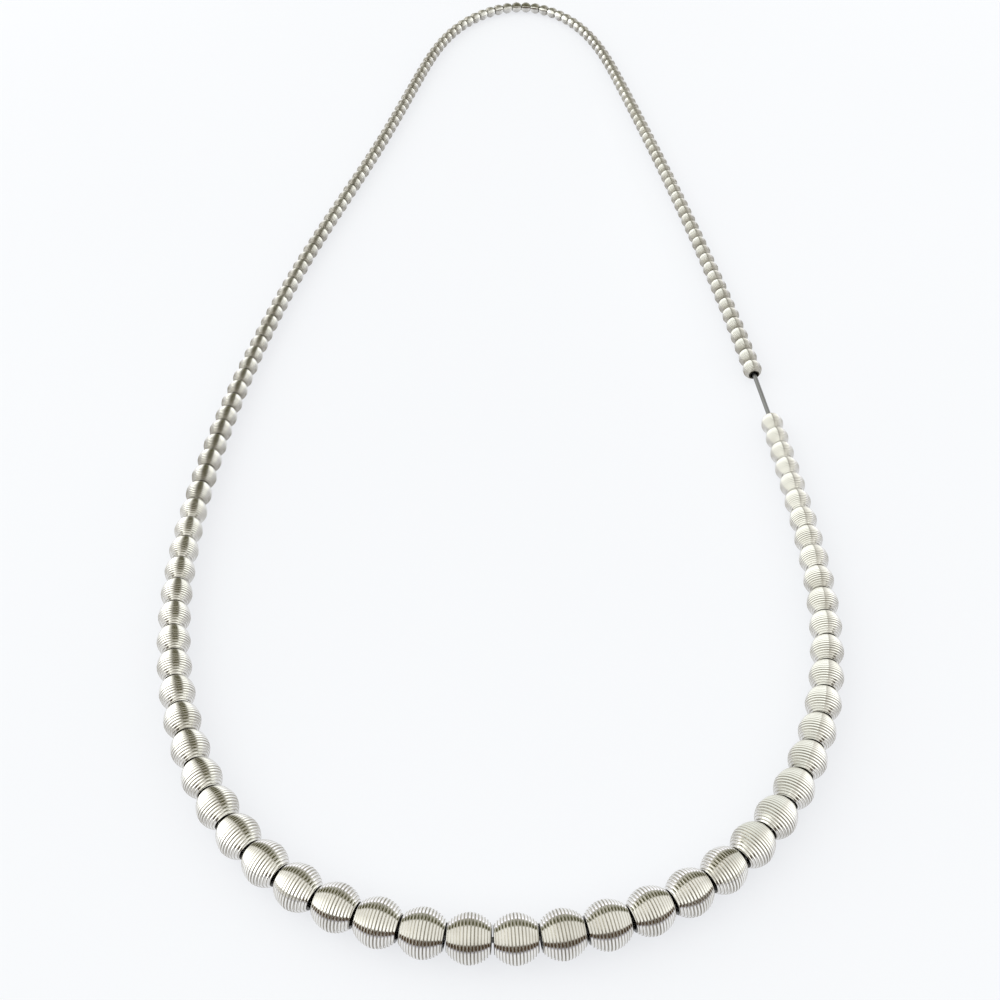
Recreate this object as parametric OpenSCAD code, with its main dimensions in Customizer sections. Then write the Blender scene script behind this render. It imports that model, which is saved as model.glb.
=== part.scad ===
// Long slip-on necklace of graduated beads, each bead a barrel wound from steel
// wire, strung end to end on one core wire that closes on itself and shows bare
// in one short stretch. The loop lies flat on the XY plane: largest beads at the
// front (-Y), smallest at the back (+Y).

/* [Beads] */
// Outside diameter of the largest beads, at the front
front_bead_d = 10; // [9.6:0.1:10.4]
// Length of a bead along its bore, as a share of its diameter
bead_length_share = 0.87; // [0.85:0.01:0.89]
// Outside diameter of a bead's end turn, as a share of its diameter
end_turn_share = 0.57; // [0.5:0.01:0.6]
// Turns of wire in each bead, wound close
turns = 14; // [12:1:16]
// Clear space between the end turns of neighbouring beads
bead_gap = 0.12; // [0.12:0.01:0.2]
// Most that a bead lies askew of the line of the loop, in degrees
askew = 1.1; // [0:0.1:2]

/* [Core wire] */
// Diameter of the core wire that the beads are strung on
core_d = 1.2; // [1:0.1:1.2]
// Beads between the middle of the front and the bare stretch of core wire
beads_before_bare = 26; // [24:1:27]
// Shortest bare stretch of core wire that the beads leave open
bare_stretch_min = 14; // [12:1:16]
// How far the bare stretch reaches into the bead at each end
bare_tuck = 1; // [0.8:0.1:1.5]

/* [Nodes] */
// Beads on each side of the front that are pieces of their own
single_beads = 20; // [18:1:20]

/* [Hidden] */
// Control points [x, y] of the loop's plan, a closed uniform cubic B-spline
// that starts at the middle of the front and runs anticlockwise
LOOP_POINTS = [
    [-1, -192], [53, -176], [80, -128], [78, -75], [73, -23], [65, 28], [55, 80],
    [45, 127], [38, 158], [26, 179], [8, 188], [-11, 177], [-23, 157], [-31, 126],
    [-43, 80], [-60, 30], [-72, -21], [-79, -73], [-78, -125], [-54, -175]
];
// Graduation [distance from the middle of the front along the loop, diameter
// as a share of the front bead]
BEAD_SIZES = [
    [0, 1], [20, 1], [40, 0.97], [60, 0.92], [86, 0.845], [112, 0.78],
    [138, 0.726], [173, 0.627], [216, 0.52], [260, 0.468], [320, 0.424], [436, 0.393]
];
// Samples of the curve in each span between two control points
SPAN_SAMPLES = 24;
// Sides of the core wire inside the beads
CORE_SIDES = 8;
// Clear space between that wire's ends and the bare stretch
CORE_GAP = 0.1;
// Steps along a bead's smooth outline, and steps round an exact turned shape
OUTLINE_STEPS = 8;
ROUND_STEPS = 48;
// Depth of the groove between two turns, as a share of the wire's thickness
GROOVE_SHARE = 0.3;
// A bead's outline is an arc through its widest turn and its end turns. Its
// radius, as a share of the bead's diameter, and the angle from its middle to
// an end turn
ARC_SHARE = (pow(bead_length_share, 2) + pow(1 - end_turn_share, 2)) / (1 - end_turn_share) / 4;
ARC_ANGLE = asin(bead_length_share / 2 / ARC_SHARE);
// Angle in radians from one turn to the next, and the thickness of the wire as
// a share of the bead's diameter: the middle lines of the turns lie half a wire
// under the arc, one thickness apart
TURN_ANGLE = 2 * ARC_ANGLE * PI / 180 / turns;
WIRE_SHARE = ARC_SHARE * TURN_ANGLE / (1 + TURN_ANGLE / 2);
// More beads than a side of the loop can hold
MOST_BEADS = 400;
// Angle from one bead to the next in the wave that lays them askew
ASKEW_STEP = 137.5;
STEEL = [0.74, 0.74, 0.7];
CORE_GREY = [0.6, 0.61, 0.62];

POINT_COUNT = len(LOOP_POINTS);

// Point of the B-spline at parameter u, one span for each control point
function loop_point(u) =
    let (
        span = floor(u),
        w = u - span,
        p = [for (k = [-1:2]) LOOP_POINTS[(span + k + POINT_COUNT) % POINT_COUNT]]
    )
    (pow(1 - w, 3) * p[0]
        + (3 * pow(w, 3) - 6 * pow(w, 2) + 4) * p[1]
        + (-3 * pow(w, 3) + 3 * pow(w, 2) + 3 * w + 1) * p[2]
        + pow(w, 3) * p[3]) / 6;

SAMPLES = [for (i = [0:POINT_COUNT * SPAN_SAMPLES]) loop_point(i / SPAN_SAMPLES)];
DISTANCES = [
    for (i = 0, s = 0;
        i < len(SAMPLES);
        s = s + (i + 1 < len(SAMPLES) ? norm(SAMPLES[i + 1] - SAMPLES[i]) : 0), i = i + 1)
        s
];
LOOP_LENGTH = DISTANCES[len(DISTANCES) - 1];
LOOP_X = [for (i = [0:len(SAMPLES) - 1]) [DISTANCES[i], SAMPLES[i].x]];
LOOP_Y = [for (i = [0:len(SAMPLES) - 1]) [DISTANCES[i], SAMPLES[i].y]];

// Distance s brought into one round of the loop
function wrapped(s) = s - LOOP_LENGTH * floor(s / LOOP_LENGTH);

// Plan point at distance s along the loop
function at(s) = let (d = wrapped(s)) [lookup(d, LOOP_X), lookup(d, LOOP_Y)];

// Diameter of a bead at distance s, the shorter way round from the front
function bead_d_at(s) =
    let (d = wrapped(s))
    front_bead_d * lookup(min(d, LOOP_LENGTH - d), BEAD_SIZES);

// Angle in radians that the loop turns through over one bead length at s
function turn_at(s, length) =
    let (
        a = at(s) - at(s - length),
        b = at(s + length) - at(s)
    )
    abs(asin((a.x * b.y - a.y * b.x) / norm(a) / norm(b))) * PI / 180;

// Distance that one bead of diameter d takes up at s: its length, the clear
// space, and the room that its rims need where the loop bends or beads lie askew
function bead_pitch(s, d) =
    let (
        length = bead_length_share * d,
        rim_turn = turn_at(s, length) + 2 * askew * PI / 180
    )
    length + bead_gap + end_turn_share * d / 2 * rim_turn;

// Ends of the beads along the loop, walked from the front in direction dir,
// until there are count of them or the next would pass the limit
function bead_ends(dir, count, limit) = [
    for (i = 0,
            s = 0,
            step = bead_pitch(0, bead_d_at(0));
        i <= count && s <= limit;
        s = s + step,
            i = i + 1,
            step = bead_pitch(dir * (s + step / 2), bead_d_at(dir * (s + step / 2))))
        s
];

RIGHT_ENDS = bead_ends(1, beads_before_bare, LOOP_LENGTH);
RIGHT_REACH = RIGHT_ENDS[beads_before_bare];
LEFT_ENDS = bead_ends(-1, MOST_BEADS, LOOP_LENGTH - RIGHT_REACH - bare_stretch_min);
RIGHT_COUNT = len(RIGHT_ENDS) - 1;
LEFT_COUNT = len(LEFT_ENDS) - 1;
// Beads of the left walk that lie on the left half of the loop
BACK_SPLIT = len([for (s = LEFT_ENDS) if (s < LOOP_LENGTH / 2) s]);

// Beads as [end nearer the front, end farther from it, direction of the walk,
// angle that it lies askew]
RIGHT_BEADS = [
    for (i = [0:RIGHT_COUNT - 1])
        [RIGHT_ENDS[i], RIGHT_ENDS[i + 1], 1, askew * sin(ASKEW_STEP * i)]
];
LEFT_BEADS = [
    for (i = [0:LEFT_COUNT - 1])
        [LEFT_ENDS[i], LEFT_ENDS[i + 1], -1, askew * sin(ASKEW_STEP * (i + 0.5))]
];

// Diameter of the bead in a row of those lists, and the middle of its bore
function row_d(row) = bead_d_at(row[2] * (row[0] + row[1]) / 2);
function row_middle(row) = (at(row[2] * row[0]) + at(row[2] * row[1])) / 2;

// Middle of the box round all the beads, which is brought over the origin
ALL_BEADS = concat(RIGHT_BEADS, LEFT_BEADS);
BOX_MIDDLE = [
    for (axis = [0, 1])
        let (
            low = min([for (row = ALL_BEADS) row_middle(row)[axis] - row_d(row) / 2]),
            high = max([for (row = ALL_BEADS) row_middle(row)[axis] + row_d(row) / 2])
        )
        (low + high) / 2
];

function two_digits(n) = n < 10 ? str("0", n) : str(n);

RIGHT_NAMES = [for (i = [1:single_beads]) str("bead_right_", two_digits(i))];
LEFT_NAMES = [for (i = [1:single_beads]) str("bead_left_", two_digits(i))];

// Point [radius, distance along the bore] at an angle of a bead's arc, at a
// depth under its outside
function arc_point(d, angle, depth) = [
    d / 2 - ARC_SHARE * d + (ARC_SHARE * d - depth) * cos(angle),
    (ARC_SHARE * d - depth) * sin(angle)
];

// Outline of a bead's wall, one wire thick, with a groove between each two
// turns of wire if it is grooved
module bead_wall(d, grooved) {
    wire = WIRE_SHARE * d;
    steps = grooved ? 2 * turns : OUTLINE_STEPS;
    outside = [
        for (i = [0:steps])
            let (between = grooved && i % 2 == 0 && i > 0 && i < steps)
            arc_point(d, ARC_ANGLE * (2 * i / steps - 1), between ? GROOVE_SHARE * wire : 0)
    ];
    inside = [
        for (i = [OUTLINE_STEPS:-1:0])
            arc_point(d, ARC_ANGLE * (2 * i / OUTLINE_STEPS - 1), wire)
    ];
    polygon(concat(outside, inside));
}

// One bead in its place, standing on the XY plane, its bore along the chord
// between its two ends
module placed_bead(row, grooved) {
    d = row_d(row);
    middle = row_middle(row) - BOX_MIDDLE;
    chord = at(row[2] * row[1]) - at(row[2] * row[0]);
    translate([middle.x, middle.y, d / 2])
        rotate([0, 0, atan2(chord.y, chord.x) + row[3]])
            rotate([0, 90, 0])
                rotate_extrude($fn = ROUND_STEPS)
                    bead_wall(d, grooved);
}

module single_bead(row) {
    color(STEEL) placed_bead(row, true);
}

module bead_string(rows) {
    color(STEEL)
        for (row = rows)
            placed_bead(row, false);
}

// The part of a list of rows from one index to just before another
function part_of(rows, first, last) = [for (i = [first:last - 1]) rows[i]];

module string_side() {
    bead_string(part_of(RIGHT_BEADS, single_beads, RIGHT_COUNT));
}

module string_back_left() {
    bead_string(part_of(LEFT_BEADS, single_beads, BACK_SPLIT));
}

module string_back_right() {
    bead_string(part_of(LEFT_BEADS, BACK_SPLIT, LEFT_COUNT));
}

// Point of the core wire at distance s, at the height of the beads' bores
function core_point(s) =
    let (plan = at(s) - BOX_MIDDLE)
    [plan.x, plan.y, bead_d_at(s) / 2];

// Distances of the two ends of the bare stretch, inside the beads next to it
BARE_FROM = RIGHT_REACH - bare_tuck;
BARE_TO = LOOP_LENGTH - LEFT_ENDS[LEFT_COUNT] + bare_tuck;

// The bare stretch of core wire, a straight rod
module bare_core() {
    from = core_point(BARE_FROM);
    way = core_point(BARE_TO) - from;
    color(CORE_GREY)
        translate(from)
            rotate([0, 0, atan2(way.y, way.x)])
                rotate([0, acos(way.z / norm(way)), 0])
                    cylinder(h = norm(way), d = core_d, $fn = ROUND_STEPS);
}

// Distances of the rings of the core wire inside the beads: its two ends, and
// one at each junction of two beads
CORE_RINGS = concat(
    [BARE_TO + CORE_GAP],
    [for (i = [LEFT_COUNT - 1:-1:1]) LOOP_LENGTH - LEFT_ENDS[i]],
    [for (i = [0:RIGHT_COUNT - 1]) LOOP_LENGTH + RIGHT_ENDS[i]],
    [LOOP_LENGTH + BARE_FROM - CORE_GAP]
);

// The core wire inside the beads, all the way round from one end of the bare
// stretch to the other
module core_wire() {
    last = len(CORE_RINGS) - 1;
    points = [
        for (s = CORE_RINGS)
            let (
                middle = core_point(s),
                way = at(s + core_d) - at(s - core_d),
                side = [way.y, -way.x, 0] / norm(way)
            )
            for (k = [0:CORE_SIDES - 1])
                let (a = 360 * (k + 0.5) / CORE_SIDES)
                middle + core_d / 2 * (cos(a) * side + [0, 0, sin(a)])
    ];
    walls = [
        for (i = [0:last - 1], k = [0:CORE_SIDES - 1])
            let (
                here = i * CORE_SIDES,
                next = here + CORE_SIDES,
                k2 = (k + 1) % CORE_SIDES
            )
            [here + k, here + k2, next + k2, next + k]
    ];
    near_end = [for (k = [CORE_SIDES - 1:-1:0]) k];
    far_end = [for (k = [0:CORE_SIDES - 1]) last * CORE_SIDES + k];
    color(CORE_GREY)
        polyhedron(
            points = points,
            faces = concat([near_end], walls, [far_end]),
            convexity = 4
        );
}

for (i = [0:single_beads - 1]) {
    single_bead(RIGHT_BEADS[i]);
    single_bead(LEFT_BEADS[i]);
}
string_side();
string_back_right();
string_back_left();
core_wire();
bare_core();
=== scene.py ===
"""Looks of a long slip-on necklace of graduated beads wound from steel wire.

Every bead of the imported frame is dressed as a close-wound coil in the same
place, and the core wire as a round wire. The loop lies on a pale table in a
softly lit room, which the steel mirrors.
"""
import logging
import math
from abc import ABC, abstractmethod
from dataclasses import dataclass
from enum import Enum
from typing import Any, Sequence

import bmesh
import bpy
from mathutils import Matrix, Vector


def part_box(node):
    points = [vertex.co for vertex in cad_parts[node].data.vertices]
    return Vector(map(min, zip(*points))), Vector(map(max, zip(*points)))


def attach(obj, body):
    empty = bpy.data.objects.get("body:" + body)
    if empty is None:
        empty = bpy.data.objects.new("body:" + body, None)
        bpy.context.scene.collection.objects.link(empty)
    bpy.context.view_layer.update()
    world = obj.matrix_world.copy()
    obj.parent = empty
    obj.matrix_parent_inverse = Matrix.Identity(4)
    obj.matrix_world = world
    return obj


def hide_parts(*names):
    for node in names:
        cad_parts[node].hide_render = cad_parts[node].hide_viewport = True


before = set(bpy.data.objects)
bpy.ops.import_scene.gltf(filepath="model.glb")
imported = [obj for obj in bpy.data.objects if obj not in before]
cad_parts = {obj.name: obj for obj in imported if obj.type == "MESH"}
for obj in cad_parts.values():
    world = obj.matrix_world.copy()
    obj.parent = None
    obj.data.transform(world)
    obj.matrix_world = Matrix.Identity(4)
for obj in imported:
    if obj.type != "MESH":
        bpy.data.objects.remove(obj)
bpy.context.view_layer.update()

LOG = logging.getLogger("necklace")
BODY = "root"
MM = 0.001

Colour = tuple[float, float, float]
Place = tuple[float, float, float]
Row = tuple[float, float]
Part = bmesh.types.BMVert | bmesh.types.BMEdge | bmesh.types.BMFace


class Side(Enum):
    """Way round the loop from the middle of the front, as a sign of distance."""

    RIGHT = 1
    LEFT = -1


class Detail(Enum):
    """How finely a coil is built: steps for each turn, and sides of its wire."""

    FRONT = (36, 12)
    SIDE = (24, 12)
    BACK = (14, 6)

    @property
    def steps(self) -> int:
        """Steps for each turn."""
        return self.value[0]

    @property
    def sides(self) -> int:
        """Sides of the wire."""
        return self.value[1]


class Shade:
    """A shader socket that takes part in Python expressions."""

    def __init__(self, tree: "Tree", socket: bpy.types.NodeSocket | None) -> None:
        """Wraps one output socket of a tree, or none where a node has no output."""
        self.tree = tree
        self.socket = socket

    def __add__(self, other: "Shade | float") -> "Shade":
        """Sum with a socket or a number."""
        return self.tree.maths("ADD", self, other)

    __radd__ = __add__

    def __sub__(self, other: "Shade | float") -> "Shade":
        """Difference from a socket or a number."""
        return self.tree.maths("SUBTRACT", self, other)

    def __rsub__(self, other: float) -> "Shade":
        """A number less this socket."""
        return self.tree.maths("SUBTRACT", other, self)

    def __mul__(self, other: "Shade | float") -> "Shade":
        """Product with a socket or a number."""
        return self.tree.maths("MULTIPLY", self, other)

    __rmul__ = __mul__

    def __abs__(self) -> "Shade":
        """This value without its sign."""
        return self.tree.maths("ABSOLUTE", self, 0.0)

    def clamped(self) -> "Shade":
        """This value kept between 0 and 1."""
        return self.tree.maths("ADD", self, 0.0, clamp=True)


class Tree:
    """The node tree of a material or of the world."""

    # Sockets of a Mix node for its two colours, and its output for the mixed one
    COLOUR_SOCKETS = (6, 7)
    COLOUR_OUTPUT = 2

    def __init__(self, owner: bpy.types.Material | bpy.types.World) -> None:
        """Starts with an empty tree.

        Args:
            owner: the material or world that the tree belongs to.
        """
        owner.use_nodes = True
        self.nodes = owner.node_tree.nodes
        self.links = owner.node_tree.links
        self.nodes.clear()

    def add(
        self,
        kind: str,
        settings: dict[str, Any] | None = None,
        inputs: dict[str | int, Any] | None = None,
        output: str | int = 0,
    ) -> Shade:
        """Adds one node.

        Args:
            kind: the node's type.
            settings: the node's own settings, such as a Math node's operation.
            inputs: values or links of its sockets, by name or number.
            output: the output socket that is given back.

        Returns:
            The chosen output, ready for expressions.
        """
        node = self.nodes.new(kind)
        for name, value in (settings or {}).items():
            setattr(node, name, value)
        for name, value in (inputs or {}).items():
            if isinstance(value, Shade):
                self.links.new(value.socket, node.inputs[name])
            else:
                node.inputs[name].default_value = value
        return Shade(self, node.outputs[output] if node.outputs else None)

    def maths(
        self, operation: str, first: Shade | float, second: Shade | float, clamp: bool = False
    ) -> Shade:
        """A Math node on two values."""
        return self.add(
            "ShaderNodeMath",
            {"operation": operation, "use_clamp": clamp},
            {0: first, 1: second},
        )

    def mix(self, share: Shade | float, first: Any, second: Any) -> Shade:
        """A colour between two colours.

        Args:
            share: 0 for the first colour, 1 for the second.
            first: a colour or a socket.
            second: a colour or a socket.

        Returns:
            The mixed colour.
        """
        inputs = {0: share}
        for socket, colour in zip(self.COLOUR_SOCKETS, (first, second)):
            inputs[socket] = (*colour, 1.0) if isinstance(colour, tuple) else colour
        return self.add(
            "ShaderNodeMix", {"data_type": "RGBA"}, inputs, output=self.COLOUR_OUTPUT
        )

    def noise(self, where: Shade, scale: float, detail: float = 2.0) -> Shade:
        """Plain noise from 0 to 1 at a place."""
        return self.add(
            "ShaderNodeTexNoise",
            inputs={"Vector": where, "Scale": scale, "Detail": detail},
        )

    def spread(self, value: Shade, low: float, high: float) -> Shade:
        """A value's share of the way from low to high, smooth and kept in 0 to 1."""
        return self.add(
            "ShaderNodeMapRange",
            {"interpolation_type": "SMOOTHSTEP"},
            {"Value": value, "From Min": low, "From Max": high},
        )


def mesh_of(bm: bmesh.types.BMesh, name: str) -> bpy.types.Mesh:
    """Writes a finished bmesh to a new mesh.

    Args:
        bm: the bmesh, which is freed.
        name: the mesh's name.

    Returns:
        The mesh.
    """
    mesh = bpy.data.meshes.new(name)
    bm.to_mesh(mesh)
    bm.free()
    return mesh


@dataclass(frozen=True)
class BeadForm:
    """Form of every bead, as shares of its outside diameter.

    The outline is an arc through the widest turn and the two end turns, and
    the turns of wire lie on it side by side.
    """

    length: float = 0.87
    end_turn: float = 0.57
    turns: int = 14

    @property
    def arc_radius(self) -> float:
        """Radius of the outline's arc."""
        drop = 1 - self.end_turn
        return (self.length**2 + drop**2) / drop / 4

    @property
    def arc_angle(self) -> float:
        """Angle of the arc from its middle to an end."""
        return math.asin(self.length / 2 / self.arc_radius)

    @property
    def wire(self) -> float:
        """Thickness of wire whose turns touch along their middle line."""
        step = 2 * self.arc_angle / self.turns
        return self.arc_radius * step / (1 + step / 2)


@dataclass(frozen=True)
class CoilBuilder:
    """Builds one bead of unit diameter: a close coil of wire, bore along X.

    The wire is nearly square with rounded corners, and its end turns are
    closed, so that both ends of the bead are flat.
    """

    form: BeadForm
    detail: Detail

    UNIT_RADIUS = 0.5
    # Power of the section's squared circle, and its width as a share of its height
    SQUARENESS = 5.0
    WIDENING = 1.06
    # Least angle of an edge that stays crisp, and the most that its ends differ across
    CRISP_ANGLE = 0.3
    SAME_PLACE = 0.001
    QUAD = 4
    # Share of the wire that counts as an end wall, and the mark that calls for painted shade
    # there
    END_SHARE = 0.1
    SHADED_END_MARK = 3.0
    ACROSS = "across_wire"

    def mesh(self, name: str) -> bpy.types.Mesh:
        """Winds the wire as a plain spring and settles it on the bead's arc.

        Args:
            name: the mesh's name.

        Returns:
            The coil, with the place across the wire, from -1 to 1, as an attribute,
            and a larger number where an end turn faces the next bead, to be painted as shade.
        """
        bm = bmesh.new()
        steps = self.detail.steps
        last = self._add_section(bm)
        for turns, rise in ((1, 0.0), (self.form.turns - 1, self.form.wire / steps), (1, 0.0)):
            spun = bmesh.ops.spin(
                bm,
                geom=last,
                cent=(0, 0, 0),
                axis=(1, 0, 0),
                dvec=(rise, 0, 0),
                angle=2 * math.pi * turns,
                steps=steps * turns,
                use_merge=False,
                use_duplicate=False,
            )
            last = spun["geom_last"]
        self._settle_on_arc(bm)
        bmesh.ops.recalc_face_normals(bm, faces=bm.faces)
        self._smooth_sides(bm)
        self._mark_shaded_ends(bm)
        return mesh_of(bm, name)

    def _add_section(self, bm: bmesh.types.BMesh) -> list[Part]:
        """Adds the wire's section at the first turn.

        Args:
            bm: the mesh that takes it; its vertices keep their place in the section.

        Returns:
            The section's vertices, edges and face.
        """
        sides = self.detail.sides
        half = self.form.wire / 2
        start = Vector((-(self.form.turns - 1) * half, 0, self.UNIT_RADIUS - half))
        bmesh.ops.create_circle(bm, cap_ends=True, segments=sides, radius=1.0)
        across = bm.verts.layers.float.new(self.ACROSS)
        # With sides in fours, half a step more sets a flat one outwards
        turned = 0.5 if sides % 4 == 0 else 0.0
        for i, vert in enumerate(bm.verts):
            angle = 2 * math.pi * (i + turned) / sides
            vert[across] = self._squared(math.cos(angle))
            above = self._squared(math.sin(angle))
            vert.co = start + half * Vector((self.WIDENING * vert[across], 0, above))
        return bm.verts[:] + bm.edges[:] + bm.faces[:]

    def _smooth_sides(self, bm: bmesh.types.BMesh) -> None:
        """Smooths the wire's sides, apart from the crisp edges that run along it.

        Args:
            bm: the finished coil.
        """
        across = bm.verts.layers.float[self.ACROSS]
        for face in bm.faces:
            face.smooth = len(face.verts) == self.QUAD
        for edge in bm.edges:
            along_wire = abs(edge.verts[0][across] - edge.verts[1][across]) < self.SAME_PLACE
            crisp = edge.calc_face_angle(math.pi) > self.CRISP_ANGLE
            edge.smooth = not (along_wire and crisp)

    def _mark_shaded_ends(self, bm: bmesh.types.BMesh) -> None:
        """Marks the end walls, where the shade of the next bead is painted.

        Args:
            bm: the finished coil.
        """
        across = bm.verts.layers.float[self.ACROSS]
        reach = self.form.length / 2 - self.END_SHARE * self.form.wire
        for vert in bm.verts:
            if abs(vert.co.x) > reach:
                vert[across] = math.copysign(self.SHADED_END_MARK, vert.co.x)

    def _squared(self, share: float) -> float:
        """Coordinate of a squared circle for a coordinate of a round one."""
        return math.copysign(abs(share) ** (2 / self.SQUARENESS), share)

    def _settle_on_arc(self, bm: bmesh.types.BMesh) -> None:
        """Moves the turns of a spring of unit diameter on to the bead's arc.

        Args:
            bm: the spring; each turn stays upright, its outer corner on the arc.
        """
        form, half = self.form, self.form.wire / 2
        last_turn = (form.turns - 1) / form.turns * form.arc_angle
        reach = (form.length / 2 - half) / math.sin(last_turn)
        across = bm.verts.layers.float[self.ACROSS]
        for vert in bm.verts:
            beside = half * self.WIDENING * vert[across]
            around = math.atan2(vert.co.y, vert.co.z)
            angle = (vert.co.x - beside) / (form.turns - 1) / half * last_turn
            middle = reach * math.sin(angle)
            corner = math.sqrt(form.arc_radius**2 - (abs(middle) + half) ** 2)
            radius = math.hypot(vert.co.y, vert.co.z) - form.arc_radius + corner
            x = middle + beside
            vert.co = (x, radius * math.sin(around), radius * math.cos(around))


@dataclass(frozen=True)
class BeadPlace:
    """Where one bead lies: the two ends of its bore in plan, in millimetres.

    The coil is drawn out along its bore by its stretch, to fill most of the gap
    that the solids keep, and turned sideways by an angle in degrees.
    """

    near: Vector
    far: Vector
    diameter: float
    stretch: float
    askew: float
    number: int

    # Turn about its bore from one bead to the next, in radians
    PHASE_STEP = 2.4

    def matrix(self) -> Matrix:
        """Brings a bead of unit diameter to its place and size.

        Returns:
            The matrix, in metres.
        """
        middle = (self.near + self.far) / 2
        chord = self.far - self.near
        heading = math.atan2(chord.y, chord.x) + math.radians(self.askew)
        return (
            Matrix.Translation(Vector((middle.x, middle.y, self.diameter / 2)) * MM)
            @ Matrix.Rotation(heading, 4, "Z")
            @ Matrix.Rotation(self.PHASE_STEP * self.number, 4, "X")
            @ Matrix.Scale(self.diameter * MM, 4)
            @ Matrix.Diagonal((self.stretch, 1, 1, 1))
        )


def looked_up(rows: Sequence[Row], x: float) -> float:
    """Value of a table at x, straight between its rows.

    Args:
        rows: pairs of place and value, in rising order.
        x: the place that is asked for.

    Returns:
        The value, held at the first or the last one outside the table.
    """
    if x <= rows[0][0]:
        return rows[0][1]
    low, high = 0, len(rows) - 1
    if x >= rows[high][0]:
        return rows[high][1]
    while high - low > 1:
        half = (low + high) // 2
        if rows[half][0] <= x:
            low = half
        else:
            high = half
    (x0, y0), (x1, y1) = rows[low], rows[high]
    return y0 + (y1 - y0) * (x - x0) / (x1 - x0)


class LoopPlan:
    """Plan of the loop and the places of its beads, in millimetres.

    The plan is a closed uniform cubic B-spline that starts at the middle of
    the front and runs anticlockwise. Distances are measured along it.
    """

    POINTS: tuple[Row, ...] = (
        (-1, -192), (53, -176), (80, -128), (78, -75), (73, -23), (65, 28), (55, 80),
        (45, 127), (38, 158), (26, 179), (8, 188), (-11, 177), (-23, 157), (-31, 126),
        (-43, 80), (-60, 30), (-72, -21), (-79, -73), (-78, -125), (-54, -175),
    )
    # Rows of distance from the middle of the front, and diameter as a share
    GRADUATION: tuple[Row, ...] = (
        (0, 1), (20, 1), (40, 0.97), (60, 0.92), (86, 0.845), (112, 0.78),
        (138, 0.726), (173, 0.627), (216, 0.52), (260, 0.468), (320, 0.424), (436, 0.393),
    )
    SPAN_SAMPLES = 24
    FRONT_DIAMETER = 10.0
    # Gap between two solids, and between the coils that stand for them
    GAP = 0.12
    RIM_GAP = 0.02
    # Largest sideways turn of a bead, and the step of the sine that spreads the turns,
    # in degrees; the left side starts half a step on
    ASKEW = 1.1
    ASKEW_STEP = 137.5
    LEFT_OFFSET = 0.5
    BEADS_BEFORE_BARE = 26
    BARE_STRETCH_MIN = 14.0

    def __init__(self, form: BeadForm) -> None:
        """Lays the loop out.

        Args:
            form: the form that all the beads share.
        """
        self.form = form
        spans = len(self.POINTS)
        samples = [
            self._spline_point(i / self.SPAN_SAMPLES)
            for i in range(spans * self.SPAN_SAMPLES + 1)
        ]
        distances = [0.0]
        for before, after in zip(samples, samples[1:]):
            distances.append(distances[-1] + (after - before).length)
        self.length = distances[-1]
        self._x = [(s, p.x) for s, p in zip(distances, samples)]
        self._y = [(s, p.y) for s, p in zip(distances, samples)]
        self.right_ends = self._walk(Side.RIGHT, self.length)[: self.BEADS_BEFORE_BARE + 1]
        left_limit = self.length - self.right_ends[-1] - self.BARE_STRETCH_MIN
        self.left_ends = self._walk(Side.LEFT, left_limit)
        # The box is found with the loop still off centre, and then sets the middle
        self._middle = Vector((0, 0))
        self._middle = self._box_middle()

    def _spline_point(self, u: float) -> Vector:
        """Finds a point of the spline.

        Args:
            u: the parameter, which grows by 1 with each control point.

        Returns:
            The point in plan.
        """
        span = math.floor(u)
        w = u - span
        near = [Vector(self.POINTS[(span + k) % len(self.POINTS)]) for k in (-1, 0, 1, 2)]
        shares = (
            (1 - w) ** 3,
            3 * w**3 - 6 * w**2 + 4,
            -3 * w**3 + 3 * w**2 + 3 * w + 1,
            w**3,
        )
        return sum((p * share for p, share in zip(near, shares)), Vector((0, 0))) / 6

    def at(self, s: float) -> Vector:
        """Plan point at distance s, with the loop's box centred on the origin."""
        return self._raw(s) - self._middle

    def diameter(self, s: float) -> float:
        """Diameter of a bead at distance s, the shorter way round from the front."""
        s %= self.length
        return self.FRONT_DIAMETER * looked_up(self.GRADUATION, min(s, self.length - s))

    def _pitch(self, s: float) -> float:
        """Measures the distance that a bead takes up, with room for its rims in a bend.

        Args:
            s: distance of the bead's middle from the front.

        Returns:
            The distance along the loop, with the gap to the next bead.
        """
        length = self.form.length * self.diameter(s)
        before = self._raw(s) - self._raw(s - length)
        after = self._raw(s + length) - self._raw(s)
        turn = abs(math.asin(before.cross(after) / before.length / after.length))
        rim_turn = turn + 2 * math.radians(self.ASKEW)
        return length + self.GAP + self.form.end_turn * self.diameter(s) / 2 * rim_turn

    def _raw(self, s: float) -> Vector:
        """Plan point at distance s before the loop is centred."""
        s %= self.length
        return Vector((looked_up(self._x, s), looked_up(self._y, s)))

    def _walk(self, side: Side, limit: float) -> list[float]:
        """Sets bead after bead along one side.

        Args:
            side: the way round.
            limit: the distance from the front where the beads have to end.

        Returns:
            Distances of the beads' ends from the front.
        """
        ends = [0.0]
        step = self._pitch(0.0)
        while ends[-1] + step <= limit:
            ends.append(ends[-1] + step)
            step = self._pitch(side.value * (ends[-1] + step / 2))
        return ends

    def places(self, side: Side) -> list[BeadPlace]:
        """Lists the places of the beads on one side.

        Args:
            side: the way round.

        Returns:
            The places, from the front outwards.
        """
        ends = self.right_ends if side is Side.RIGHT else self.left_ends
        offset = 0.0 if side is Side.RIGHT else self.LEFT_OFFSET
        places = []
        for i, (near, far) in enumerate(zip(ends, ends[1:])):
            diameter = self.diameter(side.value * (near + far) / 2)
            places.append(
                BeadPlace(
                    near=self.at(side.value * near),
                    far=self.at(side.value * far),
                    diameter=diameter,
                    stretch=1 + (self.GAP - self.RIM_GAP) / self.form.length / diameter,
                    askew=self.ASKEW * math.sin(math.radians(self.ASKEW_STEP * (i + offset))),
                    number=side.value * (i + 1),
                )
            )
        return places

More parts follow.
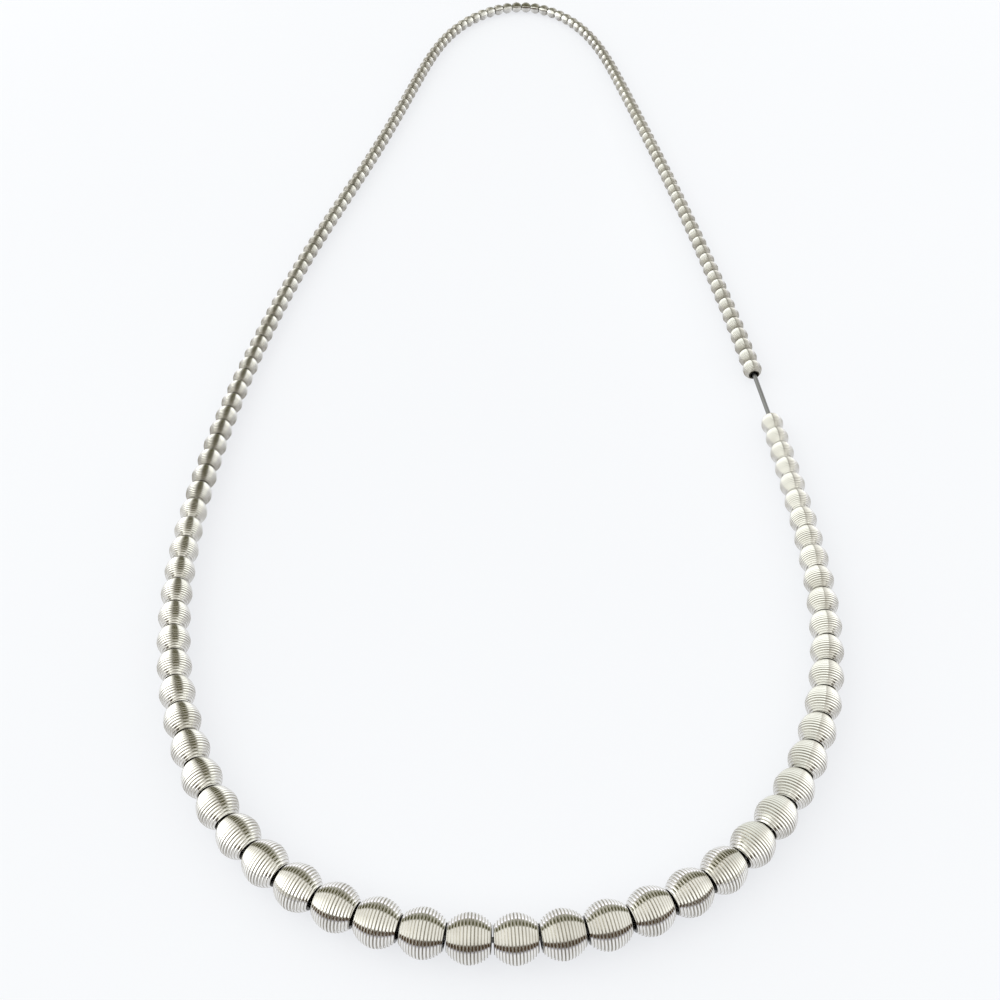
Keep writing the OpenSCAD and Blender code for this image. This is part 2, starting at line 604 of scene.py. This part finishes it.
    def _box_middle(self) -> Vector:
        """Finds the middle of the box round all the beads.

        Returns:
            The middle in plan.
        """
        beads = self.places(Side.RIGHT) + self.places(Side.LEFT)
        middles = [((b.near + b.far) / 2, b.diameter / 2) for b in beads]
        low = [min(m[k] - r for m, r in middles) for k in (0, 1)]
        high = [max(m[k] + r for m, r in middles) for k in (0, 1)]
        return Vector(((low[0] + high[0]) / 2, (low[1] + high[1]) / 2))

    def core_points(self) -> list[Vector]:
        """Points of the core wire, one at each junction of beads, in metres."""
        rings = self.right_ends + [self.length - s for s in reversed(self.left_ends[1:])]
        return [Vector((*self.at(s), self.diameter(s) / 2)) * MM for s in rings]


@dataclass(frozen=True)
class SteelFinish:
    """Polished steel wire: bright metal, matt in the grooves, where a darker tone is painted
    shade between the turns.

    It is painted dark on the end walls, as the shade of the next bead.
    """

    name: str
    bright: Colour
    # Darker tone: painted shade in the grooves, and random clouds
    groove_shade_and_cloud: Colour
    # Painted shade on the end walls
    end: Colour
    roughness: float
    groove_roughness: float
    roughness_spread: float
    grain_scale: float
    bump: float

    # Places across the wire, from 0 on its middle line to 1 at its side and more
    # on the end walls, between which each zone comes in or goes out
    GROOVE_STARTS = (0.4, 0.7)
    GROOVE_ENDS = (0.92, 0.98)
    SHADED_END_STARTS = (1.2, 2.0)
    # Values of the noise between which a cloud comes in, its strength, and its grains
    CLOUD_STARTS = (0.45, 0.75)
    CLOUD_STRENGTH = 0.3
    CLOUD_GRAINS = 20
    GRAIN_DETAIL = 4.0
    GRAIN_DEPTH = 0.00002

    def material(self) -> bpy.types.Material:
        """Builds the material.

        Returns:
            A metal whose tone, gloss and fine drawn grain vary over the wire.
        """
        material = bpy.data.materials.new(self.name)
        tree = Tree(material)
        place = tree.add("ShaderNodeTexCoord", output="Object")
        across = tree.add(
            "ShaderNodeAttribute", {"attribute_name": CoilBuilder.ACROSS}, output="Fac"
        )
        cloud = tree.noise(place, self.grain_scale / self.CLOUD_GRAINS)
        grain = tree.noise(place, self.grain_scale, detail=self.GRAIN_DETAIL)
        off = abs(across)
        groove = tree.spread(off, *self.GROOVE_STARTS) * (1 - tree.spread(off, *self.GROOVE_ENDS))
        clouded = self.CLOUD_STRENGTH * tree.spread(cloud, *self.CLOUD_STARTS)
        # Painted shade darkens the grooves between the turns; the clouds add random darker tone
        tone = tree.mix((groove + clouded).clamped(), self.bright, self.groove_shade_and_cloud)
        # Painted shade darkens the end walls, which face the next bead
        tone = tree.mix(tree.spread(off, *self.SHADED_END_STARTS), tone, self.end)
        gloss = self.roughness + (self.groove_roughness - self.roughness) * groove
        gloss += self.roughness_spread * (grain - 0.5)
        normal = tree.add(
            "ShaderNodeBump",
            inputs={"Strength": self.bump, "Distance": self.GRAIN_DEPTH, "Height": grain},
        )
        surface = tree.add(
            "ShaderNodeBsdfPrincipled",
            inputs={
                "Base Color": tone,
                "Metallic": 1.0,
                "Roughness": gloss.clamped(),
                "Normal": normal,
            },
        )
        tree.add("ShaderNodeOutputMaterial", inputs={"Surface": surface})
        return material


@dataclass(frozen=True)
class TableFinish:
    """Pale, slightly glossy table, partly lit from below, with a faint mottle."""

    name: str
    pale: Colour
    mottled: Colour
    glow: Colour
    roughness: float

    MOTTLE_SCALE = 6.0
    MOTTLE_ROUGHNESS = 0.08
    GRAIN_SCALE = 900.0
    GRAIN_STRENGTH = 0.05
    GRAIN_DEPTH = 0.0001
    SPECULAR = 0.05

    def material(self) -> bpy.types.Material:
        """Builds the material.

        Returns:
            A surface with a faint grain, whose tone and gloss vary with the mottle.
        """
        material = bpy.data.materials.new(self.name)
        tree = Tree(material)
        place = tree.add("ShaderNodeTexCoord", output="Object")
        mottle = tree.noise(place, self.MOTTLE_SCALE)
        grain = tree.noise(place, self.GRAIN_SCALE)
        normal = tree.add(
            "ShaderNodeBump",
            inputs={
                "Strength": self.GRAIN_STRENGTH,
                "Distance": self.GRAIN_DEPTH,
                "Height": grain,
            },
        )
        surface = tree.add(
            "ShaderNodeBsdfPrincipled",
            inputs={
                "Base Color": tree.mix(mottle, self.pale, self.mottled),
                "Roughness": (self.roughness + self.MOTTLE_ROUGHNESS * mottle).clamped(),
                "Specular IOR Level": self.SPECULAR,
                "Emission Color": (*self.glow, 1.0),
                "Emission Strength": 1.0,
                "Normal": normal,
            },
        )
        tree.add("ShaderNodeOutputMaterial", inputs={"Surface": surface})
        return material


@dataclass(frozen=True)
class BeadString:
    """One or more wound beads that stand for one node of the frame."""

    piece: str
    node: str
    places: Sequence[BeadPlace]

    def build(self, coil: bpy.types.Mesh, finish: bpy.types.Material) -> bpy.types.Object:
        """Sets copies of a unit coil in their places as one piece.

        Args:
            coil: the coil of unit diameter.
            finish: the beads' material.

        Returns:
            The finished piece, riding in place of its node.
        """
        bm = bmesh.new()
        for place in self.places:
            known = len(bm.verts)
            bm.from_mesh(coil)
            bm.verts.ensure_lookup_table()
            bmesh.ops.transform(bm, matrix=place.matrix(), verts=bm.verts[known:])
        return settle(mesh_of(bm, self.piece), finish, "bead_steel", self.node)


@dataclass(frozen=True)
class CoreWire:
    """The closed round wire that the beads are threaded on."""

    piece: str = "round_core_wire"
    hidden_node: str = "core_wire"
    bare_node: str = "bare_core"
    diameter: float = 1.2 * MM
    sides: int = 12

    def build(self, points: Sequence[Vector], finish: bpy.types.Material) -> bpy.types.Object:
        """Draws a round section along the points and closes it on itself.

        Args:
            points: the wire's middle line, closed.
            finish: the wire's material.

        Returns:
            The finished piece, riding in place of its two nodes.
        """
        frames = [self._frame(points, i) for i in range(len(points))]
        bm = bmesh.new()
        bmesh.ops.create_circle(
            bm, segments=self.sides, radius=self.diameter / 2, matrix=frames[0]
        )
        first = bm.edges[:]
        ring = first
        for before, after in zip(frames, frames[1:]):
            made = bmesh.ops.extrude_edge_only(bm, edges=ring)["geom"]
            verts = [part for part in made if isinstance(part, bmesh.types.BMVert)]
            ring = [
                part
                for part in made
                if isinstance(part, bmesh.types.BMEdge) and all(v in verts for v in part.verts)
            ]
            bmesh.ops.transform(bm, matrix=after @ before.inverted(), verts=verts)
        bmesh.ops.bridge_loops(bm, edges=first + ring)
        bmesh.ops.recalc_face_normals(bm, faces=bm.faces)
        for face in bm.faces:
            face.smooth = True
        return settle(
            mesh_of(bm, self.piece), finish, "core_steel", self.hidden_node, self.bare_node
        )

    @staticmethod
    def _frame(points: Sequence[Vector], i: int) -> Matrix:
        """Finds the place and turn of the section at one point, square to the wire.

        Args:
            points: the wire's middle line, closed.
            i: number of the point.

        Returns:
            The section's matrix.
        """
        count = len(points)
        before, here, after = points[i - 1], points[i], points[(i + 1) % count]
        way = (here - before).normalized() + (after - here).normalized()
        return Matrix.Translation(here) @ way.to_track_quat("Z", "Y").to_matrix().to_4x4()


def settle(
    mesh: bpy.types.Mesh, finish: bpy.types.Material, slot: str, *nodes: str
) -> bpy.types.Object:
    """Shows a mesh in place of nodes of the frame.

    Args:
        mesh: the piece's mesh, in place, under the piece's name.
        finish: its material.
        slot: the record's material slot; not used.
        nodes: the nodes that it stands for.

    Returns:
        The piece, which rides the necklace's body.
    """
    piece = bpy.data.objects.new(mesh.name, mesh)
    bpy.context.collection.objects.link(piece)
    mesh.materials.append(finish)
    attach(piece, BODY)
    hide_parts(*nodes)
    return piece


@dataclass
class Necklace:
    """The whole necklace: the front beads, the three strings and the core."""

    form: BeadForm
    bead_finish: SteelFinish
    core_finish: SteelFinish
    single_beads: int = 20

    CLOSE_ENOUGH = 0.1 * MM

    def build(self) -> list[bpy.types.Object]:
        """Builds and dresses every piece.

        Returns:
            The pieces: the single beads, the strings and the core wire.
        """
        plan = LoopPlan(self.form)
        steel = self.bead_finish.material()
        coils = {d: CoilBuilder(self.form, d).mesh(f"coil_{d.name.lower()}") for d in Detail}
        pieces = []
        for side in Side:
            for i, place in enumerate(plan.places(side)[: self.single_beads], 1):
                tag = f"{side.name.lower()}_{i:02d}"
                bead = BeadString(f"coil_{tag}", f"bead_{tag}", [place])
                pieces.append(bead.build(coils[Detail.FRONT], steel))
                self._compare(place, bead.node)
        for string, detail in self._strings(plan):
            pieces.append(string.build(coils[detail], steel))
        pieces.append(CoreWire().build(plan.core_points(), self.core_finish.material()))
        return pieces

    def _strings(self, plan: LoopPlan) -> list[tuple[BeadString, Detail]]:
        """Lists the strings that follow on the single beads.

        Args:
            plan: the loop's plan.

        Returns:
            Each string with the detail of its coils.
        """
        right, left = plan.places(Side.RIGHT), plan.places(Side.LEFT)
        first = self.single_beads
        split = sum(1 for s in plan.left_ends if s < plan.length / 2)
        return [
            (BeadString("coils_side", "string_side", right[first:]), Detail.SIDE),
            (BeadString("coils_back_right", "string_back_right", left[split:]), Detail.BACK),
            (BeadString("coils_back_left", "string_back_left", left[first:split]), Detail.BACK),
        ]

    def _compare(self, place: BeadPlace, node: str) -> None:
        """Warns if a bead's place isn't the one that its node has.

        Args:
            place: the bead's place.
            node: the node that the bead stands for.
        """
        low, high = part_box(node)
        off = (place.matrix().translation - (low + high) / 2).length
        if off > self.CLOSE_ENOUGH:
            LOG.warning("%s is %.2f mm off", node, off / MM)


@dataclass(frozen=True)
class MirroredPanel(ABC):
    """A glowing panel over the necklace, there only to be mirrored in the steel.

    Its colour turns from the near one to the far one where Y passes the change,
    in metres, and its cover fades out towards its edges.
    """

    name: str
    near_colour: Colour
    far_colour: Colour
    change: Row

    def build(self) -> bpy.types.Object:
        """Adds the panel, which neither the camera sees nor the light meets.

        Returns:
            The panel.
        """
        material = bpy.data.materials.new(self.name)
        tree = Tree(material)
        place = tree.add("ShaderNodeTexCoord", output="Object")
        clear = tree.add("ShaderNodeBsdfTransparent")
        surface = tree.add(
            "ShaderNodeMixShader",
            inputs={0: self._cover(tree, place), 1: clear, 2: self._glow(tree, place)},
        )
        tree.add("ShaderNodeOutputMaterial", inputs={"Surface": surface})
        mesh = mesh_of(self._shape(), self.name)
        mesh.materials.append(material)
        panel = bpy.data.objects.new(self.name, mesh)
        panel.visible_camera = False
        panel.visible_diffuse = False
        panel.visible_shadow = False
        bpy.context.collection.objects.link(panel)
        return panel

    def _glow(self, tree: Tree, place: Shade) -> Shade:
        """Turns the light from the near colour to the far one along Y.

        Args:
            tree: the material's tree.
            place: the point in the panel's own axes.

        Returns:
            The emission shader.
        """
        near, far = (
            tree.add("ShaderNodeEmission", inputs={"Color": (*colour, 1.0)})
            for colour in (self.near_colour, self.far_colour)
        )
        along = tree.add("ShaderNodeSeparateXYZ", inputs={"Vector": place}, output="Y")
        share = tree.spread(along, *self.change)
        return tree.add("ShaderNodeMixShader", inputs={0: share, 1: near, 2: far})

    @abstractmethod
    def _shape(self) -> bmesh.types.BMesh:
        """Builds the panel's shape."""

    @abstractmethod
    def _cover(self, tree: Tree, place: Shade) -> Shade:
        """Says how solid the panel is.

        Args:
            tree: the material's tree.
            place: the point in the panel's own axes.

        Returns:
            The cover, from 0 to 1.
        """


@dataclass(frozen=True)
class DarkCard(MirroredPanel):
    """A level dark card over the necklace, which fades out over its edge's width."""

    middle: Place
    size: Row
    edge: Row

    # Half the side of a unit square, as the grid operator takes it
    HALF_SIDE = 0.5

    def _shape(self) -> bmesh.types.BMesh:
        """Builds the card as one face.

        Returns:
            The card's shape, in place.
        """
        bm = bmesh.new()
        matrix = Matrix.Translation(self.middle) @ Matrix.Diagonal((*self.size, 1, 1))
        bmesh.ops.create_grid(
            bm, x_segments=1, y_segments=1, size=self.HALF_SIDE, matrix=matrix
        )
        return bm

    def _cover(self, tree: Tree, place: Shade) -> Shade:
        """Covers the card's middle fully, and its edges not at all.

        Args:
            tree: the material's tree.
            place: the point in the card's own axes.

        Returns:
            The cover, from 0 to 1.
        """
        cover = 1.0
        for axis, middle, size, edge in zip("XY", self.middle, self.size, self.edge):
            along = tree.add("ShaderNodeSeparateXYZ", inputs={"Vector": place}, output=axis)
            cover = cover * (1 - tree.spread(abs(along - middle), size / 2 - edge, size / 2))
        return cover


@dataclass(frozen=True)
class PaleScreen(MirroredPanel):
    """A pale screen on the table inside one side of the loop.

    It stands along a stretch of the loop, its foot and its top inset from the
    beads. A negative inset lies outside the loop, so that the screen leans over
    the beads. It fades out upwards.
    """

    side: Side
    stretch_mm: Row
    inset_mm: float
    top_inset_mm: float
    height: float
    steps: int = 40

    # Share of the height at which the screen begins to fade
    FADE_START = 1 / 3

    def _shape(self) -> bmesh.types.BMesh:
        """Bridges the screen's foot and its top edge, which both follow the loop.

        Returns:
            The screen's shape, in place.
        """
        plan = LoopPlan(BeadForm())
        low, high = self.stretch_mm
        distances = [low + (high - low) * i / self.steps for i in range(self.steps + 1)]
        bm = bmesh.new()
        edges = []
        for inset_mm, rise in ((self.inset_mm, 0.0), (self.top_inset_mm, self.height)):
            row = [bm.verts.new((*self._beside(plan, s, inset_mm), rise)) for s in distances]
            edges += [bm.edges.new(pair) for pair in zip(row, row[1:])]
        bmesh.ops.bridge_loops(bm, edges=edges)
        return bm

    def _beside(self, plan: LoopPlan, s: float, inset_mm: float) -> Vector:
        """Finds a point beside the loop.

        Args:
            plan: the loop's plan.
            s: distance from the front, in millimetres.
            inset_mm: distance inwards from the beads' middle line.

        Returns:
            The point in plan, in metres.
        """
        here, ahead = plan.at(self.side.value * s), plan.at(self.side.value * (s + 1))
        way = (ahead - here).normalized()
        inward = Vector((-way.y, way.x)) * self.side.value
        return (here + inward * inset_mm) * MM

    def _cover(self, tree: Tree, place: Shade) -> Shade:
        """Covers the screen's lower part fully, and its top not at all."""
        rise = tree.add("ShaderNodeSeparateXYZ", inputs={"Vector": place}, output="Z")
        return 1 - tree.spread(rise, self.height * self.FADE_START, self.height)


@dataclass(frozen=True)
class ToneBand:
    """A stretch of the room between two tilts, in degrees from the zenith to the back.

    A negative tilt leans to the front. The band reaches as far to both sides as
    its width says, from 0 to 1.
    """

    colour: Colour
    low: float
    high: float
    width: float
    softness: float = 3.0

    SIDE_SOFTNESS = 0.1

    def laid_on(self, tree: Tree, tone: Shade, tilt: Shade, side: Shade) -> Shade:
        """Mixes the band over a tone.

        Args:
            tree: the world's tree.
            tone: the tone of the room without the band.
            tilt: angle from the zenith towards the back, in radians.
            side: how far to a side the direction points, from 0 to 1.

        Returns:
            The tone with the band.
        """
        soft = math.radians(self.softness)
        low, high = math.radians(self.low), math.radians(self.high)
        end = (self.width - self.SIDE_SOFTNESS, self.width + self.SIDE_SOFTNESS)
        inside = tree.spread(tilt, low - soft, low + soft)
        inside *= 1 - tree.spread(tilt, high - soft, high + soft)
        inside *= 1 - tree.spread(side, *end)
        return tree.mix(inside, tone, self.colour)


@dataclass(frozen=True)
class Room:
    """The room round the table, as the steel and the table mirror it.

    Its tone turns from the left one to the middle one, and on to the right one,
    where the direction's share of X passes each edge.
    """

    left: Colour = (2.6, 2.66, 2.52)
    middle: Colour = (0.94, 0.93, 0.86)
    right: Colour = (1.55, 1.57, 1.48)
    left_edge: Row = (-0.85, -0.15)
    right_edge: Row = (0.28, 0.85)
    backdrop: Colour = (0.9, 0.92, 0.95)
    bands: Sequence[ToneBand] = (
        ToneBand(colour=(0.6, 0.6, 0.67), low=-110.0, high=-80.0, width=0.95),
        ToneBand(colour=(0.07, 0.042, 0.02), low=-82.0, high=-51.0, width=0.8),
        ToneBand(colour=(1.3, 1.3, 1.4), low=76.0, high=110.0, width=0.95),
    )

    def build(self) -> None:
        """Paints the room, and the plain backdrop that the camera sees in its place."""
        world = bpy.data.worlds.new("room")
        bpy.context.scene.world = world
        tree = Tree(world)
        way = tree.add("ShaderNodeTexCoord", output="Generated")
        x, y, z = (
            tree.add("ShaderNodeSeparateXYZ", inputs={"Vector": way}, output=axis)
            for axis in "XYZ"
        )
        tone = tree.mix(tree.spread(x, *self.left_edge), self.left, self.middle)
        tone = tree.mix(tree.spread(x, *self.right_edge), tone, self.right)
        tilt = tree.maths("ARCTAN2", y, z)
        for band in self.bands:
            tone = band.laid_on(tree, tone, tilt, abs(x))
        seen = tree.add("ShaderNodeLightPath", output="Is Camera Ray")
        light = tree.add(
            "ShaderNodeBackground",
            inputs={"Color": tree.mix(seen, tone, self.backdrop), "Strength": 1.0},
        )
        tree.add("ShaderNodeOutputWorld", inputs={"Surface": light})


@dataclass(frozen=True)
class Studio:
    """The camera, the table, the room, and the panels that the steel mirrors."""

    table: TableFinish
    room: Room
    mirrored: Sequence[MirroredPanel]
    table_size: float = 8.0
    camera_place_mm: Place = (0.45, -269.6, 240.4)
    camera_pitch: float = 49.9
    focal_share: float = 1.2
    sensor_mm: float = 36.0
    clip_start: float = 0.01

    def build(self) -> list[bpy.types.Object]:
        """Builds the whole stage.

        Returns:
            The table and the panels.
        """
        self._build_camera()
        table = self._build_table()
        self.room.build()
        panels = [panel.build() for panel in self.mirrored]
        bpy.context.scene.view_settings.view_transform = "Standard"
        return [table, *panels]

    def _build_camera(self) -> None:
        """Adds the camera, pitched down along +Y."""
        data = bpy.data.cameras.new("camera")
        data.sensor_width = self.sensor_mm
        data.lens = self.focal_share * self.sensor_mm
        data.clip_start = self.clip_start
        camera = bpy.data.objects.new("camera", data)
        camera.matrix_world = Matrix.Translation(
            Vector(self.camera_place_mm) * MM
        ) @ Matrix.Rotation(math.radians(90 - self.camera_pitch), 4, "X")
        bpy.context.collection.objects.link(camera)
        bpy.context.scene.camera = camera

    def _build_table(self) -> bpy.types.Object:
        """Adds the table's flat top at height 0.

        Returns:
            The table.
        """
        bm = bmesh.new()
        bmesh.ops.create_grid(bm, x_segments=1, y_segments=1, size=self.table_size / 2)
        mesh = mesh_of(bm, "table")
        mesh.materials.append(self.table.material())
        table = bpy.data.objects.new("table", mesh)
        bpy.context.collection.objects.link(table)
        return table


def main() -> None:
    """Builds the necklace and its stage, and reports each piece."""
    logging.basicConfig(level=logging.INFO, format="%(name)s: %(message)s")
    necklace = Necklace(
        form=BeadForm(),
        bead_finish=SteelFinish(
            name="wound_steel",
            bright=(0.86, 0.85, 0.83),
            # Darker tone: painted shade in the grooves, and random clouds
            groove_shade_and_cloud=(0.4, 0.375, 0.325),
            # Painted shade on the end walls
            end=(0.04, 0.036, 0.025),
            roughness=0.14,
            groove_roughness=0.5,
            roughness_spread=0.08,
            grain_scale=3000.0,
            bump=0.1,
        ),
        core_finish=SteelFinish(
            name="core_steel",
            bright=(0.2, 0.2, 0.2),
            groove_shade_and_cloud=(0.16, 0.16, 0.16),
            end=(0.16, 0.16, 0.16),
            roughness=0.32,
            groove_roughness=0.32,
            roughness_spread=0.1,
            grain_scale=2000.0,
            bump=0.1,
        ),
    )
    studio = Studio(
        table=TableFinish(
            name="table_top",
            pale=(0.22, 0.222, 0.23),
            mottled=(0.205, 0.207, 0.215),
            glow=(0.68, 0.69, 0.715),
            roughness=0.3,
        ),
        room=Room(),
        mirrored=(
            DarkCard(
                name="dark_card",
                near_colour=(0.075, 0.07, 0.022),
                far_colour=(0.34, 0.34, 0.27),
                change=(0.1, 0.42),
                middle=(-0.01, 0.415, 0.24),
                size=(0.4, 0.9),
                edge=(0.14, 0.05),
            ),
            PaleScreen(
                name="pale_screen",
                near_colour=(0.76, 0.78, 0.72),
                far_colour=(1.42, 1.45, 1.36),
                change=(-0.18, -0.09),
                side=Side.RIGHT,
                stretch_mm=(60.0, 360.0),
                inset_mm=11.0,
                top_inset_mm=-40.0,
                height=0.2,
            ),
        ),
    )
    for assembly in (necklace, studio):
        for piece in assembly.build():
            LOG.info("%s is built, with %d faces", piece.name, len(piece.data.polygons))


if __name__ == "__main__":
    main()
